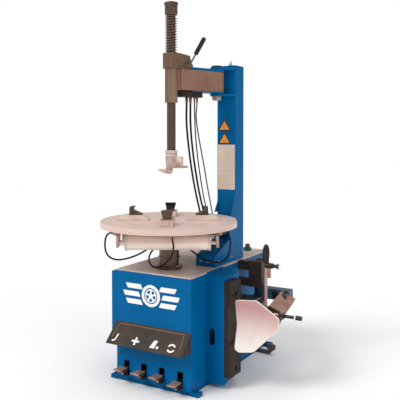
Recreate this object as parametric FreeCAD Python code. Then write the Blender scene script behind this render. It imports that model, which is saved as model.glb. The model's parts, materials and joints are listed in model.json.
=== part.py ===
"""Swing-arm tire changer: cabinet, turntable with four clamping jaws, swing arm with a hexagonal
tool shaft, pedals and a side bead breaker. Millimetres, +Z up, origin on the floor under the
turntable's axis, +X to the operator's right, +Y to the rear."""
import FreeCAD, Part
import math
import os
from FreeCAD import Vector as V

# ---------------------------------------------------------------- driving dimensions
CAB_HALF = 227.5            # cabinet half width
CAB_FRONT, CAB_REAR = -153.0, 745.0
SHEET = 3.0                 # cabinet sheet thickness
BASE_H = 20.0               # base frame height
TOP_Z, TOP_T = 585.0, 8.0   # top plate's upper face and thickness
DECK = TOP_Z - TOP_T

DISC_R, DISC_FLAT = 359.0, 354.0   # turntable radius and its four flats
DISC_TOP, DISC_T, LIP_H, LIP_T = 838.0, 10.0, 30.0, 9.0
HUB_R = 40.0
FIT = 0.05                  # radial running clearance of pins and shafts
GAP = 0.5                   # clearance between faces that slide past each other
JAW_R = 189.0               # claw centre radius at rest
JAW_IN, JAW_OUT = 10.0, 40.0
TURN = 30.34                # the jaw axes' angle from +X, degrees

CYL_R, CYL_HALF, CYL_Z, CYL_OFF = 37.0, 218.0, 737.0, 120.0
CYL_WALL, ROD_R, PISTON_U = 4.0, 10.0, -175.0
HOSE_AZIMUTHS = (-149.3, -130.4, -27.6)   # where the table's hoses leave the rotary valve

COL_X0, COL_X1, COL_Y0, COL_Y1, COL_TOP = 95.0, 210.0, 355.0, 455.0, 1671.0
PIN_X, PIN_Y, PIN_R = 120.0, 300.0, 20.0
TOOL_X = 15.0               # tool shaft axis, at Y = 0
ARM_Z0, ARM_Z1, ARM_W = 1519.0, 1629.0, 80.0
HEX_AF = 40.0               # tool shaft across flats
LEVER_BACK, LEVER_Y, LEVER_Z = 80.0, 52.0, 1646.0   # lock lever's pin, from the tool shaft
LEVER_RISE, LEVER_BOSS_R, LEVER_PIN_R = math.radians(47), 10.0, 5.0
LEVER_ROD, LEVER_GRIP, LEVER_GRIP_R = 76.0, 92.0, 11.5   # rod and grip lengths, grip radius
SPRING_Z0, SPRING_Z1, SPRING_R, SPRING_WIRE, SPRING_TURNS = 1709.5, 1903.5, 31.5, 4.5, 14

MOTOR_Y, MOTOR_Z = 520.0, 200.0
ARM_PORTS = ((49, 98, 7.5), (58, 122, 7.5), (67, 149, 5.5), (73, 166, 5.5))
DECK_PORTS = ((-20, 425, 7.5, 620), (0, 438, 7.5, 620), (22, 430, 5.5, 612), (52, 434, 5.5, 612))

VALVE_X, VALVE_Y = 137.0, 660.0    # the air regulator on the top plate

PEDAL_X = (-163.5, -54.5, 54.5, 163.5)
PEDAL_Y, PEDAL_Z = 60.0, 72.0
PEDAL_LATCH = 3.4           # the right-hand pedal rests latched this many degrees down

PIVOT_X, PIVOT_Y = 335.0, 410.0    # bead breaker hinge
BLADE_X, BLADE_Y = 597.0, 56.0     # blade hinge
TRUNNION_X, CLEVIS_Y, ROD_Z = -80.0, 262.0, 365.0
BUTTON_R, BUTTON_Z = 9.0, 634.0    # the push button on the handle's valve

NODES = {}


# ---------------------------------------------------------------- helpers
def box(x0, x1, y0, y1, z0, z1):
    return Part.makeBox(x1 - x0, y1 - y0, z1 - z0, V(x0, y0, z0))


def cyl(x, y, z, r, h, axis=(0, 0, 1)):
    return Part.makeCylinder(r, h, V(x, y, z), V(*axis))


def cone(x, y, z, r0, r1, h, axis=(0, 0, 1)):
    return Part.makeCone(r0, r1, h, V(x, y, z), V(*axis))


def prism(points, direction):
    """A flat outline of 3-D points pushed along direction."""
    wire = Part.makePolygon([V(*p) for p in points] + [V(*points[0])])
    return Part.Face(wire).extrude(V(*direction))


def prism_x(yz, x0, x1):
    return prism([(x0, y, z) for y, z in yz], (x1 - x0, 0, 0))


def prism_y(xz, y0, y1):
    return prism([(x, y0, z) for x, z in xz], (0, y1 - y0, 0))


def prism_z(xy, z0, z1):
    return prism([(x, y, z0) for x, y in xy], (0, 0, z1 - z0))


def fuse(*shapes):
    whole = shapes[0].multiFuse(list(shapes[1:])) if len(shapes) > 1 else shapes[0]
    return whole.removeSplitter()


def group(*shapes):
    """Separate solids that share one node."""
    return Part.makeCompound([s for shape in shapes for s in shape.Solids])


def turned(shape, degrees, x=0.0, y=0.0):
    copy = shape.copy()
    copy.rotate(V(x, y, 0), V(0, 0, 1), degrees)
    return copy


def moved(shape, x=0.0, y=0.0, z=0.0):
    copy = shape.copy()
    copy.translate(V(x, y, z))
    return copy


def hexagon(across, z0, z1, x=0.0, y=0.0, start=0.0):
    r = across / 2 / math.cos(math.pi / 6)
    angles = [math.radians(start + 60 * k) for k in range(6)]
    return prism_z([(x + r * math.cos(a), y + r * math.sin(a)) for a in angles], z0, z1)


def bolt(x, y, z, head=6.5, height=5.0, axis=(0, 0, 1)):
    """A hexagon head with its washer, standing on the surface at x, y, z."""
    head_solid = hexagon(2 * head * 0.87, 1.5, 1.5 + height)
    shape = fuse(cyl(0, 0, 0, head * 1.15, 1.5), head_solid)
    turn = FreeCAD.Rotation(V(0, 0, 1), V(*axis))
    shape.Placement = FreeCAD.Placement(V(x, y, z), turn)
    return shape


def hose(name, points, diameter):
    """A tube of straight runs and tangent arcs through a list of route points."""
    route = [V(*p) for p in points]
    edges, radii, start = [], [], route[0]
    for before, corner, after in zip(route, route[1:], route[2:]):
        back, ahead = before - corner, after - corner
        run = min(back.Length, ahead.Length)
        back.normalize()
        ahead.normalize()
        half = (math.pi - back.getAngle(ahead)) / 2
        reach = 0.45 * run
        radius = reach / math.tan(half)
        first, last = corner + back * reach, corner + ahead * reach
        middle = back + ahead
        middle.normalize()
        centre = corner + middle * (radius / math.cos(half))
        edges.append(Part.LineSegment(start, first).toShape())
        edges.append(Part.Arc(first, centre - middle * radius, last).toShape())
        radii.append(radius)
        start = last
    edges.append(Part.LineSegment(start, route[-1]).toShape())
    wire = Part.Wire(edges)
    heading = route[1] - route[0]
    ring = Part.Wire([Part.Circle(route[0], heading, diameter / 2).toShape()])
    tube = wire.makePipeShell([ring], True, False)
    length = sum(e.Length for e in edges)
    ideal = math.pi * diameter ** 2 / 4 * length
    print(f"{name}: length {length:.0f}, least radius {min(radii):.1f}, "
          f"volume share {tube.Volume / ideal:.4f}, valid {tube.isValid()}")
    return tube


def node(name, shape):
    NODES[name] = shape


# ---------------------------------------------------------------- cabinet
def base_frame():
    outer = box(-224, 224, -150, 742, 0, BASE_H)
    rails = outer.cut(box(-184, 184, -110, 702, -1, BASE_H + 1))
    parts = [rails]
    for y0, y1 in ((-60, 60), (330, 470)):
        parts.append(box(-184, 184, y0, y1, 0, BASE_H))
    for x0, x1 in ((-268, -223), (223, 268)):
        for y0 in (-153, 702):
            tab = box(x0, x1, y0, y0 + 43, 0, BASE_H)
            centre = 248 if x0 > 0 else -248
            parts.append(tab.cut(cyl(centre, y0 + 21.5, -1, 7, BASE_H + 2)))
    gusset = prism_y([(223, 0), (223, 20), (300, 20), (340, 52), (340, 30), (312, 0)], 590, 610)
    outrigger = cyl(300, 600, 43, 17, 43, (1, 0, 0))
    parts += [gusset, outrigger]
    node("base_frame", fuse(*parts))


def cabinet_shell():
    front = box(-CAB_HALF, CAB_HALF, CAB_FRONT, CAB_FRONT + SHEET, BASE_H, DECK)
    for x in PEDAL_X:
        front = front.cut(box(x - 17, x + 17, CAB_FRONT - 1, CAB_FRONT + SHEET + 1, 34, 110))
    y0, y1 = CAB_FRONT + SHEET, CAB_REAR - SHEET
    right = box(CAB_HALF - SHEET, CAB_HALF, y0, y1, BASE_H, DECK)
    right = right.cut(box(CAB_HALF - 10, CAB_HALF + 1, 232, 308, 340, 390))
    left = box(-CAB_HALF, -CAB_HALF + SHEET, y0, y1, BASE_H, DECK)
    left = left.cut(box(-CAB_HALF - 1, -CAB_HALF + 10, -90, 560, 240, 530))
    rear = box(-CAB_HALF, CAB_HALF, y1, CAB_REAR, BASE_H, DECK)
    rear = rear.cut(cyl(-150, y1 - 1, 120, 12, SHEET + 2, (0, 1, 0)))
    node("cabinet_shell", group(front, right, left, rear))


def top_plate():
    plate = box(-CAB_HALF, CAB_HALF, CAB_FRONT, CAB_REAR, DECK, TOP_Z)
    node("top_plate", plate.cut(cyl(0, 0, DECK - 1, 52, TOP_T + 2)))


def left_side_cover():
    x0, x1 = -277.0, -CAB_HALF - 0.3
    outer = box(x0, x1, -138, 600, 200, 567)
    edges = [e for e in outer.Edges if abs(e.CenterOfMass.x - x0) < 1]
    outer = outer.makeFillet(10, edges)
    inner = box(x0 + SHEET, x1 + 1, -138 + SHEET, 600 - SHEET, 200 + SHEET, 567 - SHEET)
    node("left_side_cover", outer.cut(inner))


def wheel_rest():
    x0, x1, y0, y1 = CAB_HALF + 0.3, 327.5, 2.0, 165.0
    outer = prism_y([(x0, 20), (x1, 20), (x1, 565), (x0, TOP_Z)], y0, y1)
    outer = outer.cut(prism_x([(y0, 19), (y1, 19), (y1, 56)], x0 - 1, x1 + 1))
    t = SHEET
    inner = prism_y([(x0 - 1, 60), (x1 - t, 60), (x1 - t, 561), (x0 - 1, 581)], y0 + t, y1 - t)
    shell = outer.cut(inner)
    slot = box(242, 274, y0 - 1, y1 + 1, 232, 286)
    slot = slot.fuse([cyl(258, y0 - 1, z, 16, y1 - y0 + 2, (0, 1, 0)) for z in (232, 286)])
    node("wheel_rest_box", shell.cut(slot))

    face = x1 + 0.3
    profile = [(face, 64), (365, 64), (365, 232), (351, 240), (351, 421), (365, 429),
               (365, 540), (359, 546), (face, 546)]
    pad = prism_y(profile, 1, 116)
    for z in (100, 200, 480):
        pad = pad.cut(cyl(face - 1, 58, z, 6, 60, (1, 0, 0)))
        pad = pad.cut(cyl(357, 58, z, 12, 60, (1, 0, 0)))
    node("wheel_rest_pad", pad)


def pedal_hood():
    y0 = CAB_FRONT - 0.3
    outer = prism_x([(y0, 313), (y0, 306), (-243, 216), (-246, 218), (-246, 222)],
                    -CAB_HALF, CAB_HALF)
    cheek = [(y0, 309), (y0, 213), (-246, 219)]
    cheeks = [prism_x(cheek, x, x + 2) for x in (-CAB_HALF, CAB_HALF - 2)]
    node("pedal_hood", fuse(outer, *cheeks))


# ---------------------------------------------------------------- column
def column():
    wall = 5.0
    tube = box(COL_X0, COL_X1, COL_Y0, COL_Y1, TOP_Z, COL_TOP)
    tube = tube.cut(box(COL_X0 + wall, COL_X1 - wall, COL_Y0 + wall, COL_Y1 - wall,
                        TOP_Z - 1, COL_TOP - 6))
    band = box(COL_X0, COL_X1, 118, COL_Y0, TOP_Z, 641)
    band = band.cut(box(COL_X0 + 6, COL_X1 - 6, 124, COL_Y0 - 6, TOP_Z - 1, 635))
    right_rib = prism_x([(COL_Y0, 950), (306, 842), (306, 800), (282, 784), (282, 712),
                         (118, 641), (COL_Y0, 641)], COL_X1 - 6, COL_X1)
    left_rib = prism_x([(COL_Y0, 790), (332, 778), (332, 716), (118, 641), (COL_Y0, 641)],
                       COL_X0, COL_X0 + 6)
    left_gusset = prism_x([(COL_Y0, 912), (318, 852), (COL_Y0, 852)], COL_X0, COL_X0 + 6)
    slope = prism_x([(118, 641), (332, 716), (332, 709), (124, 636)], COL_X0 + 6, COL_X1 - 6)
    pin_hole = cyl(PIN_X, PIN_Y, 1490, PIN_R, 190)
    ears = []
    for z0, z1 in ((1498, 1512), (1643, 1658)):
        plate = prism_z([(84, PIN_Y), (95, COL_Y0), (COL_X1, COL_Y0), (156, PIN_Y)], z0, z1)
        ears.append(plate.fuse(cyl(PIN_X, PIN_Y, z0, 36, z1 - z0)).cut(pin_hole))
    node("column_post", group(tube, band, right_rib, left_rib, left_gusset, slope,
                              *[e.removeSplitter() for e in ears]))

    nut = hexagon(50, 1478, 1497.8, PIN_X, PIN_Y).cut(cyl(PIN_X, PIN_Y, 1476, PIN_R, 60))
    pin = cyl(PIN_X, PIN_Y, 1474, PIN_R, 1658.2 - 1474)
    head = cyl(PIN_X, PIN_Y, 1658.2, 27, 8)
    node("swing_pin", fuse(pin, head, nut))


def fasteners():
    solids = []
    for k in range(4):
        a = math.radians(TURN + 45 + 90 * k)
        solids.append(bolt(62 * math.cos(a), 62 * math.sin(a), 599, 5.5, 4))
    for y in (160, 300):
        solids.append(bolt(COL_X1, y, 613, 6, 5, (1, 0, 0)))
        solids.append(bolt(COL_X0, y, 613, 6, 5, (-1, 0, 0)))
    solids.append(bolt(170, 118, 613, 6, 5, (0, -1, 0)))
    solids.append(bolt(125, 118, 613, 6, 5, (0, -1, 0)))
    solids.append(cyl(-205, CAB_FRONT, 146, 5, 2.5, (0, -1, 0)))
    for y in (-100, 230, 560):
        for z in (225, 540):
            solids.append(cyl(-277, y, z, 5, 2.5, (-1, 0, 0)))
    tip = fuse(cyl(152.5, 405, COL_TOP, 11, 6), cone(152.5, 405, COL_TOP + 6, 11, 3, 26))
    solids.append(tip)
    node("machine_bolts", group(*solids))


# ---------------------------------------------------------------- drive
def drive():
    body = box(-90, 90, -90, 90, 410, DECK)
    flange = box(-110, 110, -110, 110, 565, DECK)
    shape = fuse(body, flange).cut(cyl(0, 0, 480, HUB_R + FIT, 200))
    shape = shape.cut(cyl(-91, 60, 450, 10 + FIT, 60, (1, 0, 0)))
    neck = fuse(cyl(0, 0, TOP_Z, 70.5, 14), cyl(0, 0, TOP_Z, 52, 105), cyl(0, 0, 640, 56, 10))
    neck = neck.cut(cyl(0, 0, TOP_Z - 1, HUB_R + FIT, 120))
    node("gearbox", group(shape, neck))

    y, z = MOTOR_Y, MOTOR_Z
    motor = fuse(cyl(-80, y, z, 72, 190, (1, 0, 0)), box(-40, 70, y - 58, y + 58, z - 60, z),
                 box(-30, 60, y + 50, y + 66, z, z + 90))
    motor = motor.cut(cyl(-81, y, z, 9 + FIT, 60, (1, 0, 0)))
    stand = box(-60, 80, 400, y + 70, BASE_H, z - 60)
    stand = stand.cut(box(-54, 74, 390, y + 80, BASE_H - 1, z - 68))
    node("motor", group(motor, stand))

    def pulley(r, y, z, shaft_r, depth):
        rim = cyl(-150, y, z, r, 22, (1, 0, 0))
        return fuse(rim, cyl(-154, y, z, shaft_r, depth + 54, (1, 0, 0)))

    node("gearbox_pulley", pulley(55, 60, 450, 10, 50))
    node("motor_pulley", pulley(28, MOTOR_Y, MOTOR_Z, 9, 60))

    def loop(r0, r1):
        """The outline round two pulleys, as a solid 16 wide."""
        a, b = V(-147, 60, 450), V(-147, MOTOR_Y, MOTOR_Z)
        span = b - a
        lean = math.asin((r0 - r1) / span.Length)
        unit = span * (1 / span.Length)
        side = V(0, -unit.z, unit.y)
        corners = []
        for s in (1, -1):
            n = side * (s * math.cos(lean)) + unit * math.sin(lean)
            corners.append((a + n * r0, b + n * r1))
        quad = [corners[0][0], corners[0][1], corners[1][1], corners[1][0]]
        middle = prism([(p.x, p.y, p.z) for p in quad], (16, 0, 0))
        return fuse(middle, cyl(a.x, a.y, a.z, r0, 16, (1, 0, 0)),
                    cyl(b.x, b.y, b.z, r1, 16, (1, 0, 0)))

    node("drive_belt", loop(61, 34).cut(loop(55.3, 28.3)))


# ---------------------------------------------------------------- turntable
def turntable():
    disc = cyl(0, 0, DISC_TOP - DISC_T, DISC_R, DISC_T)
    rim = cyl(0, 0, DISC_TOP - LIP_H, DISC_R, LIP_H).cut(
        cyl(0, 0, DISC_TOP - LIP_H - 1, DISC_R - LIP_T - 5, LIP_H + 2))
    whole = fuse(disc, rim).common(
        box(-DISC_FLAT, DISC_FLAT, -DISC_FLAT, DISC_FLAT, 0, DISC_TOP + 1))
    for k in range(4):
        whole = whole.cut(turned(box(86, 275, -21, 21, 700, 900), 90 * k))
    cap = fuse(cyl(0, 0, DISC_TOP, 34, 5), hexagon(26, DISC_TOP, DISC_TOP + 12))
    node("turntable_plate", turned(fuse(whole, cap), TURN))

    shaft = fuse(cyl(0, 0, 484, HUB_R, 344), cyl(0, 0, 812, 68, 16), cyl(0, 0, 738, 47, 8))
    node("turntable_hub", shaft)

    valve = fuse(cyl(0, 0, 700, 58, 14), cyl(0, 0, 714, 52, 6), cyl(0, 0, 720, 58, 14),
                 *[cyl(0, 0, 707, 6, 67.7, (math.cos(a), math.sin(a), 0))
                   for a in (math.radians(TURN + d) for d in HOSE_AZIMUTHS)])
    node("rotary_valve", valve.cut(cyl(0, 0, 690, HUB_R, 60)))


def jaw_slide(k):
    """One jaw's carriage, drawn along +X: bar below the disc, neck through its slot, block above."""
    under = DISC_TOP - DISC_T - GAP
    bar = box(JAW_R - 90, JAW_R + 95, -30, 30, 795, under)
    neck = box(JAW_R - 45, JAW_R + 30, -20, 20, under, DISC_TOP + GAP)
    block = prism_y([(JAW_R - 86, DISC_TOP + GAP), (JAW_R + 86, DISC_TOP + GAP),
                     (JAW_R + 82, 846), (JAW_R + 52, 866), (JAW_R - 52, 866),
                     (JAW_R - 82, 846)], -34, 34)
    parts = [bar, neck, block]
    if k in (0, 2):
        plate = prism_x([(-156, 717), (-156, 776), (-60, 800), (60, 800), (156, 776),
                         (156, 717), (90, 717), (60, 770), (-60, 770), (-90, 717)], 246, 258)
        port = 118 if k else -100
        elbow = box(258, 276, port - 10, port + 10, 774, 798)
        parts += [plate, elbow]
    return fuse(*parts)


def jaw_claw():
    outline = [(JAW_R - 50, 866.0), (JAW_R - 50, 871), (JAW_R - 6, 889), (JAW_R - 3, 899),
               (JAW_R - 12, 906), (JAW_R - 9, 911), (JAW_R + 16, 908), (JAW_R + 18, 866)]
    return prism_y(outline, -30, 30)


def jaws():
    for k in range(4):
        node(f"jaw_slide_{k + 1}", turned(jaw_slide(k), TURN + 90 * k))
        node(f"jaw_claw_{k + 1}", turned(jaw_claw(), TURN + 90 * k))
    barrels, rods = [], []
    for v in (-CYL_OFF, CYL_OFF):
        barrel = cyl(-CYL_HALF, v, CYL_Z, CYL_R, 2 * CYL_HALF, (1, 0, 0))
        barrel = barrel.cut(cyl(-CYL_HALF + 15, v, CYL_Z, CYL_R - CYL_WALL,
                                2 * CYL_HALF - 35, (1, 0, 0)))
        barrel = barrel.cut(cyl(CYL_HALF - 30, v, CYL_Z, ROD_R + FIT, 40, (1, 0, 0)))
        tail = cyl(-246, v, CYL_Z, 14, 246 - CYL_HALF, (1, 0, 0))
        barrels.append(fuse(barrel, tail))
        rod = cyl(PISTON_U, v, CYL_Z, ROD_R, 246 - PISTON_U, (1, 0, 0))
        piston = cyl(PISTON_U, v, CYL_Z, CYL_R - CYL_WALL - FIT, 20, (1, 0, 0))
        rods.append(fuse(rod, piston))
    node("clamp_cylinders", turned(group(*barrels), TURN))
    node("clamp_rods", turned(group(*rods), TURN))


def table_hoses():
    d = 9.0
    u = V(math.cos(math.radians(TURN)), math.sin(math.radians(TURN)), 0)
    w = V(u.y, -u.x, 0)

    def place(route):
        return [tuple(u * a + w * b + V(0, 0, z)) for a, b, z in route]

    left = [(-276, 118, 787), (-291, 118, 787), (-304, 120, 782), (-313, 122, 769),
            (-318, 124, 748), (-319, 126, 718), (-312, 128, 684), (-290, 129, 660),
            (-256, 126, 650), (-218, 117, 653), (-180, 103, 662), (-142, 82, 675),
            (-108, 63, 694), (-81, 48, 707), (-58.25, 34.6, 707)]
    centre = [(24, 177, 795), (24, 177, 768), (31, 179, 735), (30, 175, 700), (14, 165, 664),
              (-14, 154, 634), (-48, 143, 615), (-78, 134, 618), (-95, 128, 638),
              (-97, 118, 664), (-86, 100, 688), (-64, 75, 707), (-44, 51.6, 707)]
    right = [(276, 100, 787), (291, 100, 787), (304, 102, 782), (312, 104, 769),
             (317, 106, 747), (317, 109, 716), (312, 111, 680), (295, 112, 651),
             (266, 110, 634), (232, 105, 632), (196, 96, 642), (160, 80, 660),
             (124, 64, 683), (86, 45, 707), (60, 31.4, 707)]
    for name, route in (("left", left), ("center", centre), ("right", right)):
        node(f"table_hose_{name}", hose(f"table_hose_{name}", place(route), d))


# ---------------------------------------------------------------- swing arm
ARM_LEN = math.hypot(TOOL_X - PIN_X, PIN_Y)
ARM_TURN = math.degrees(math.atan2(-PIN_Y, TOOL_X - PIN_X))


def along_arm(shape):
    """Moves a shape drawn from the pin along +X to its place, pointing at the tool shaft."""
    return moved(turned(shape, ARM_TURN), PIN_X, PIN_Y)


def swing_arm():
    w = ARM_W / 2
    beam = box(0, 283, -w, w, ARM_Z0, ARM_Z1)
    beam = beam.cut(box(44, 277, -w + 6, w - 6, ARM_Z0 + 6, ARM_Z1 - 6))
    barrel = cyl(0, 0, ARM_Z0, w, ARM_Z1 - ARM_Z0)
    beam = fuse(beam, barrel).cut(cyl(0, 0, ARM_Z0 - 1, PIN_R + FIT, ARM_Z1 - ARM_Z0 + 2))
    node("arm_beam", along_arm(beam))

    plates = []
    for z0, z1, reach in ((1512.5, ARM_Z0, 200), (ARM_Z1, 1642.5, 214)):
        plate = prism_z([(0, -44), (reach, -34), (reach, 34), (0, 44)], z0, z1)
        plate = fuse(plate, cyl(0, 0, z0, 44, z1 - z0))
        plates.append(plate.cut(cyl(0, 0, z0 - 1, PIN_R + FIT, z1 - z0 + 2)))
    node("arm_plates", along_arm(group(*plates)))

    s = ARM_LEN
    bore = hexagon(HEX_AF + 0.2, 1440, 1715, s, 0, -ARM_TURN + TURN)
    head = prism_z([(s + 24, -38), (s + 38, -22), (s + 38, 22), (s + 24, 38),
                    (s - 30, 38), (s - 30, -38)], ARM_Z1, 1709)
    tail = prism_y([(s - 30, ARM_Z1), (s - 112, ARM_Z1), (s - 112, 1652), (s - 96, 1700),
                    (s - 30, 1709)], -38, 38)
    tail = tail.cut(box(0, 215.5, -60, 60, ARM_Z1 - 1, 1643))
    ears = []
    for x in (s - LEVER_BACK - 19, s - LEVER_BACK + 13):
        ear = box(x, x + 6, 36, LEVER_Y, LEVER_Z - 9, LEVER_Z + 9)
        ears.append(ear.fuse(cyl(x, LEVER_Y, LEVER_Z, 9, 6, (1, 0, 0))))
    block = fuse(head, tail, *ears).cut(bore)
    pin_hole = cyl(s - LEVER_BACK - 22, LEVER_Y, LEVER_Z, LEVER_PIN_R + FIT, 44, (1, 0, 0))
    node("head_block", along_arm(block.cut(pin_hole)))

    tube = cyl(s, 0, 1451, 33, ARM_Z1 - 1451)
    lug = box(283, s - 20, -30, 30, ARM_Z0, ARM_Z1)
    tube = fuse(tube, lug).cut(bore)
    node("guide_tube", along_arm(tube))

    valve = fuse(box(s - 190, s - 50, -30, 30, 1484, 1512.5), box(s - 95, s - 50, -22, 22, 1484, ARM_Z0))
    ports = [cyl(x, y, 1476, r, 10) for x, y, r in ARM_PORTS]
    node("lock_valve", fuse(along_arm(valve), *ports))

    node("lock_lever", along_arm(lever()))


def lever():
    """The lock lever on the arm's right side: boss and pin, thin rod, thicker grip."""
    foot = V(ARM_LEN - LEVER_BACK, LEVER_Y, LEVER_Z)
    aim = V(0.0, math.cos(LEVER_RISE), math.sin(LEVER_RISE))
    boss = cyl(foot.x - 12, foot.y, foot.z, LEVER_BOSS_R, 24, (1, 0, 0))
    pin = cyl(foot.x - 20, foot.y, foot.z, LEVER_PIN_R, 40, (1, 0, 0))
    rod = Part.makeCylinder(4.5, LEVER_ROD + 4, foot, aim)
    grip = Part.makeCylinder(LEVER_GRIP_R, LEVER_GRIP, foot + aim * LEVER_ROD, aim)
    tip = Part.makeSphere(LEVER_GRIP_R, foot + aim * (LEVER_ROD + LEVER_GRIP))
    return fuse(boss, pin, rod, grip, tip)


def tool_shaft():
    x = TOOL_X
    node("hex_shaft", hexagon(HEX_AF, 1150, 1905, x, 0, TURN))
    cap = fuse(cyl(x, 0, 1905, 35, 52), cyl(x, 0, 1957, 30, 13), cyl(x, 0, 1970, 33, 6))
    node("shaft_cap", cap)

    radius, wire = SPRING_R - SPRING_WIRE / 2, SPRING_WIRE / 2
    height = SPRING_Z1 - SPRING_Z0 - SPRING_WIRE
    helix = Part.makeHelix(height / SPRING_TURNS, height, radius)
    ring = Part.Wire([Part.Circle(V(radius, 0, 0), V(0, 1, 0), wire).toShape()])
    coil = Part.Wire(helix).makePipeShell([ring], True, True)
    node("return_spring", moved(coil, x, 0, SPRING_Z0 + wire))

    socket = fuse(cyl(0, 0, 1118, 30, 86), box(-22, 62, -24, 24, 1118, 1169))
    wing = prism_z([(-20, -28), (-20, 24), (58, 32), (86, 8), (80, -14), (24, -32)], 1111, 1121)
    bill = prism_y([(-24, 1120), (-30, 1104), (-68, 1106), (-70, 1098), (-44, 1088), (-20, 1081),
                    (2, 1081), (7, 1092), (7, 1120)], -16, 16)
    body = fuse(socket, wing, bill)
    body = body.cut(hexagon(HEX_AF, 1150, 1210))
    node("mount_head", moved(turned(body, TURN), x, 0))


def arm_hoses():
    routes = {
        "arm_hose_1": (11.0, [(49, 98, 1476), (49, 98, 1436), (38, 112, 1370), (26, 142, 1290),
                       (12, 182, 1205), (-2, 226, 1120), (-16, 274, 1035), (-28, 322, 955),
                       (-35, 366, 878), (-34, 398, 800), (-27, 416, 726), (-20, 425, 666),
                       (-20, 425, 620)]),
        "arm_hose_2": (11.0, [(58, 122, 1476), (58, 122, 1436), (50, 134, 1370), (40, 158, 1290),
                       (30, 190, 1210), (18, 229, 1130), (6, 273, 1050), (-6, 319, 970),
                       (-13, 363, 892), (-12, 399, 814), (-5, 422, 738), (0, 438, 670),
                       (0, 438, 620)]),
        "arm_hose_3": (7.0, [(67, 149, 1476), (67, 149, 1440), (64, 157, 1385), (55, 176, 1316),
                       (46, 202, 1240), (36, 234, 1165), (26, 270, 1090), (16, 309, 1015),
                       (8, 347, 940), (6, 381, 865), (10, 405, 790), (18, 421, 718),
                       (22, 430, 660), (22, 430, 612)]),
        "arm_hose_4": (7.0, [(73, 166, 1476), (73, 166, 1442), (64, 169, 1394), (62, 183, 1332),
                       (62, 207, 1262), (60, 236, 1190), (58, 266, 1120), (54, 295, 1050),
                       (50, 325, 980), (46, 357, 910), (44, 386, 842), (46, 410, 774),
                       (50, 426, 708), (52, 434, 654), (52, 434, 612)]),
    }
    for name, (d, route) in routes.items():
        node(name, hose(name, route, d))


# ---------------------------------------------------------------- air supply
def air_parts():
    solids = [fuse(cyl(x, y, TOP_Z, r + 3, 14), cyl(x, y, TOP_Z, r, top - TOP_Z))
              for x, y, r, top in DECK_PORTS]
    gland = fuse(cyl(-150, CAB_REAR - SHEET, 120, 12, 16, (0, 1, 0)),
                 cyl(-150, CAB_REAR, 120, 18, 6, (0, 1, 0)))
    solids.append(gland.cut(cyl(-150, CAB_REAR - SHEET - 1, 120, 5, 30, (0, 1, 0))))
    node("cabinet_fittings", group(*solids))

    x, y = VALVE_X, VALVE_Y
    body = fuse(box(x - 19, x + 19, y - 16, y + 16, TOP_Z, TOP_Z + 20),
                cyl(x, y - 24, TOP_Z + 11, 6, 48, (0, 1, 0)),
                cyl(x, y, TOP_Z + 20, 9, 3))
    node("air_unit", body)
    top = TOP_Z + 23.5
    knob = fuse(cyl(x, y, top, 15, 14), cyl(x, y, top + 14, 11, 4))
    node("regulator_knob", knob)


def pedals():
    y, z = PEDAL_Y, PEDAL_Z
    shaft = cyl(-208, y, z, 8, 416, (1, 0, 0))
    stands = [box(x - 4, x + 4, y - 25, y + 110, BASE_H, z + 22) for x in (-212, 0, 212)]
    valves = [box(x - 16, x + 16, y + 40, y + 100, z - 10, z + 34) for x in PEDAL_X]
    shelf = box(-208, 208, y + 30, y + 110, z - 16, z - 10)
    frame = fuse(shaft, *stands, shelf, *valves)
    node("pedal_unit", frame)
    for k, x in enumerate(PEDAL_X):
        hub = cyl(x - 14, y, z, 14, 28, (1, 0, 0))
        bar = box(x - 10, x + 10, -206, y, z - 10, z + 4)
        plate = fuse(box(x - 23, x + 23, -238, -176, z + 8, z + 12),
                     box(x - 23, x + 23, -238, -234, z + 8, z + 17),
                     box(x - 10, x + 10, -206, -180, z + 3, z + 9))
        clevis = box(x - 13, x + 13, -190, -160, 40, z - 8)
        pedal = fuse(hub, bar, plate, clevis).cut(cyl(x - 20, y, z, 8 + FIT, 40, (1, 0, 0)))
        if k == 3:
            pedal.rotate(V(x, y, z), V(1, 0, 0), PEDAL_LATCH)
        node(f"pedal_{k + 1}", pedal)


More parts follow.
